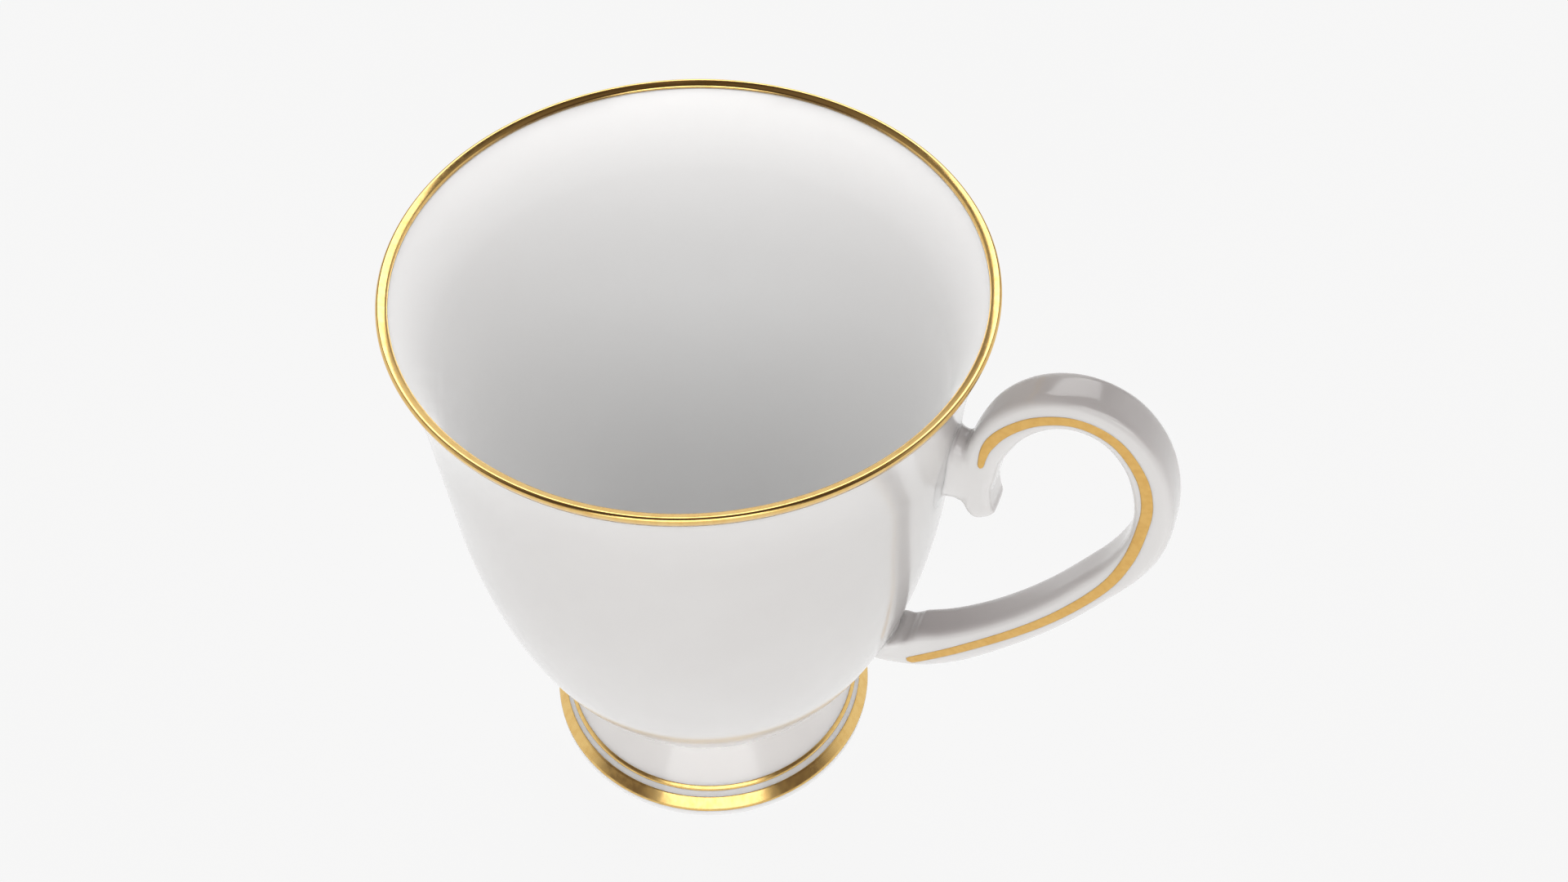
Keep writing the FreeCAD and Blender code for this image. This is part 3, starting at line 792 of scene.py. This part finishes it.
def line_faces(rows):
    """Faces of a thin closed ribbon, each row of which lists its upper and then its lower vertices."""
    per_side = LINE_COLUMNS + 1
    per_row = 2 * per_side
    last = (rows - 1) * per_row
    faces = []
    for row in range(0, last, per_row):
        for first in (row, row + per_side):
            faces += [(first + c, first + c + 1, first + per_row + c + 1, first + per_row + c)
                      for c in range(LINE_COLUMNS)]
        for upper in (row, row + LINE_COLUMNS):
            lower = upper + per_side
            faces.append((upper, lower, lower + per_row, upper + per_row))
    for row in (0, last):
        faces += [(row + c, row + c + 1, row + per_side + c + 1, row + per_side + c)
                  for c in range(LINE_COLUMNS)]
    return faces


def make_gold_line(name, side, handle, node):
    """Thin domed line of gold laid on one side face of the handle."""
    route = smooth_route(GOLD_LINE, LINE_STEPS)
    skin = tree_of(handle.data)
    length = [0.0]
    for a, b in zip(route, route[1:]):
        length.append(length[-1] + math.dist(a, b))
    verts = []
    for i, (x, z) in enumerate(route):
        before, after = neighbours(route, i)
        along = Vector((after[0] - before[0], after[1] - before[1])).normalized()
        across = Vector((-along.y, along.x)) * line_half_width(length[i], length[-1] - length[i])
        for on_top in (True, False):
            for column in range(LINE_COLUMNS + 1):
                share = 2 * column / LINE_COLUMNS - 1
                spot = Vector((x, z)) + across * share
                start = Vector((spot.x, side * CLEAR_OF_HANDLE, spot.y)) * MM
                hit = skin.ray_cast(start, Vector((0, -side, 0)))[0]
                rise = GILDING_RISE * (1 - abs(share) ** LINE_DOME_POWER) if on_top else -GILDING_SINK
                verts.append(hit + Vector((0, side * rise * MM, 0)))
    mesh = bpy.data.meshes.new(name)
    mesh.from_pydata(verts, [], line_faces(len(route)))
    finish_mesh(name, mesh, PAINTED, "matt_gold", node)


# ---------------------------------------------------------------- surroundings

def make_floor():
    """Wide pale floor that glows a little, so that shadows on it stay faint."""
    mesh = bpy.data.meshes.new("floor")
    corners = [(-1, -1), (1, -1), (1, 1), (-1, 1)]
    mesh.from_pydata([(x * FLOOR_REACH, y * FLOOR_REACH, 0) for x, y in corners], [], [(0, 1, 2, 3)])
    floor = bpy.data.objects.new("floor", mesh)
    bpy.context.scene.collection.objects.link(floor)
    paint = Surface("pale_floor", Base_Color=(0.08, 0.08, 0.08, 1), Roughness=1.0,
                    Specular_IOR_Level=0.0, Emission_Color=(1, 1, 1, 1), Emission_Strength=0.875)
    mesh.materials.append(paint.material)


def make_world():
    """Studio walls that change between bright and dim round the cup, and darken towards overhead."""
    world = bpy.data.worlds.new("studio")
    bpy.context.scene.world = world
    world.use_nodes = True
    nodes = Nodes(world.node_tree)
    spin = nodes.add("ShaderNodeVectorRotate", rotation_type="Z_AXIS", Angle=VIEW_HEADING)
    nodes.feed(nodes.add("ShaderNodeTexCoord").outputs["Generated"], spin.inputs["Vector"])
    ray = nodes.parts(spin.outputs["Vector"])
    towards_viewer = nodes.math("MULTIPLY", ray["Y"], -1.0)
    bearing = nodes.math("ABSOLUTE", nodes.math("ARCTAN2", ray["X"], towards_viewer))
    around = nodes.colours(nodes.math("DIVIDE", bearing, math.pi), WALLS_AROUND)
    walls = nodes.blend(1.0, around, nodes.colours(ray["Z"], WALLS_UPWARD), kind="MULTIPLY")
    nodes.feed(walls, nodes.tree.nodes["Background"].inputs["Color"])


def make_light(name, bearing, elevation, distance, size, power):
    """Softbox that faces the cup; its bearing is in degrees clockwise from the viewer's side."""
    data = bpy.data.lights.new(name, "AREA")
    data.shape = "RECTANGLE"
    data.size, data.size_y = size
    data.energy = power
    light = bpy.data.objects.new(name, data)
    bpy.context.scene.collection.objects.link(light)
    turn = VIEW_HEADING + math.radians(bearing)
    reach = distance * math.cos(math.radians(elevation))
    rise = distance * math.sin(math.radians(elevation))
    place = Vector((-reach * math.sin(turn), -reach * math.cos(turn), rise))
    light.location = place + Vector(LIT_POINT)
    light.rotation_mode = "QUATERNION"
    light.rotation_quaternion = (-place).to_track_quat("-Z", "Y")


def make_camera():
    """Looks down on the cup at 50 degrees from the front, with the handle to the right."""
    data = bpy.data.cameras.new("camera")
    data.sensor_width = VIEW_SENSOR
    data.lens = VIEW_LENS
    data.clip_start = VIEW_NEAREST
    camera = bpy.data.objects.new("camera", data)
    bpy.context.scene.collection.objects.link(camera)
    camera.location = VIEW_PLACE
    level = math.cos(VIEW_PITCH)
    forward = Vector((
        math.sin(VIEW_HEADING) * level, math.cos(VIEW_HEADING) * level, -math.sin(VIEW_PITCH),
    ))
    camera.rotation_mode = "QUATERNION"
    camera.rotation_quaternion = forward.to_track_quat("-Z", "Y")
    bpy.context.scene.camera = camera


def main():
    make_bowl()
    make_foot()
    make_foot_joint()
    make_rim_band()
    make_foot_band("wide_foot_gold", WIDE_BAND, "wide_foot_gilding")
    make_foot_band("narrow_foot_gold", NARROW_BAND, "narrow_foot_gilding")
    handle = make_handle()
    make_gold_line("front_gold_line", -1, handle, "front_handle_gilding")
    make_gold_line("back_gold_line", 1, handle, "back_handle_gilding")
    make_bead("upper_slip_bead", UPPER_PAD, "upper_handle_joint")
    make_bead("lower_slip_bead", LOWER_PAD, "lower_handle_joint")
    make_floor()
    make_world()
    make_light("front_softbox", bearing=0, elevation=14, distance=1.2, size=(1.3, 0.40), power=3.2)
    make_light("key_softbox", bearing=0, elevation=38, distance=1.3, size=(0.9, 0.4), power=3.2)
    make_light("back_softbox", bearing=180, elevation=46, distance=1.3, size=(1.15, 0.6), power=5.2)
    make_camera()
    bpy.context.scene.view_settings.view_transform = "Standard"


main()
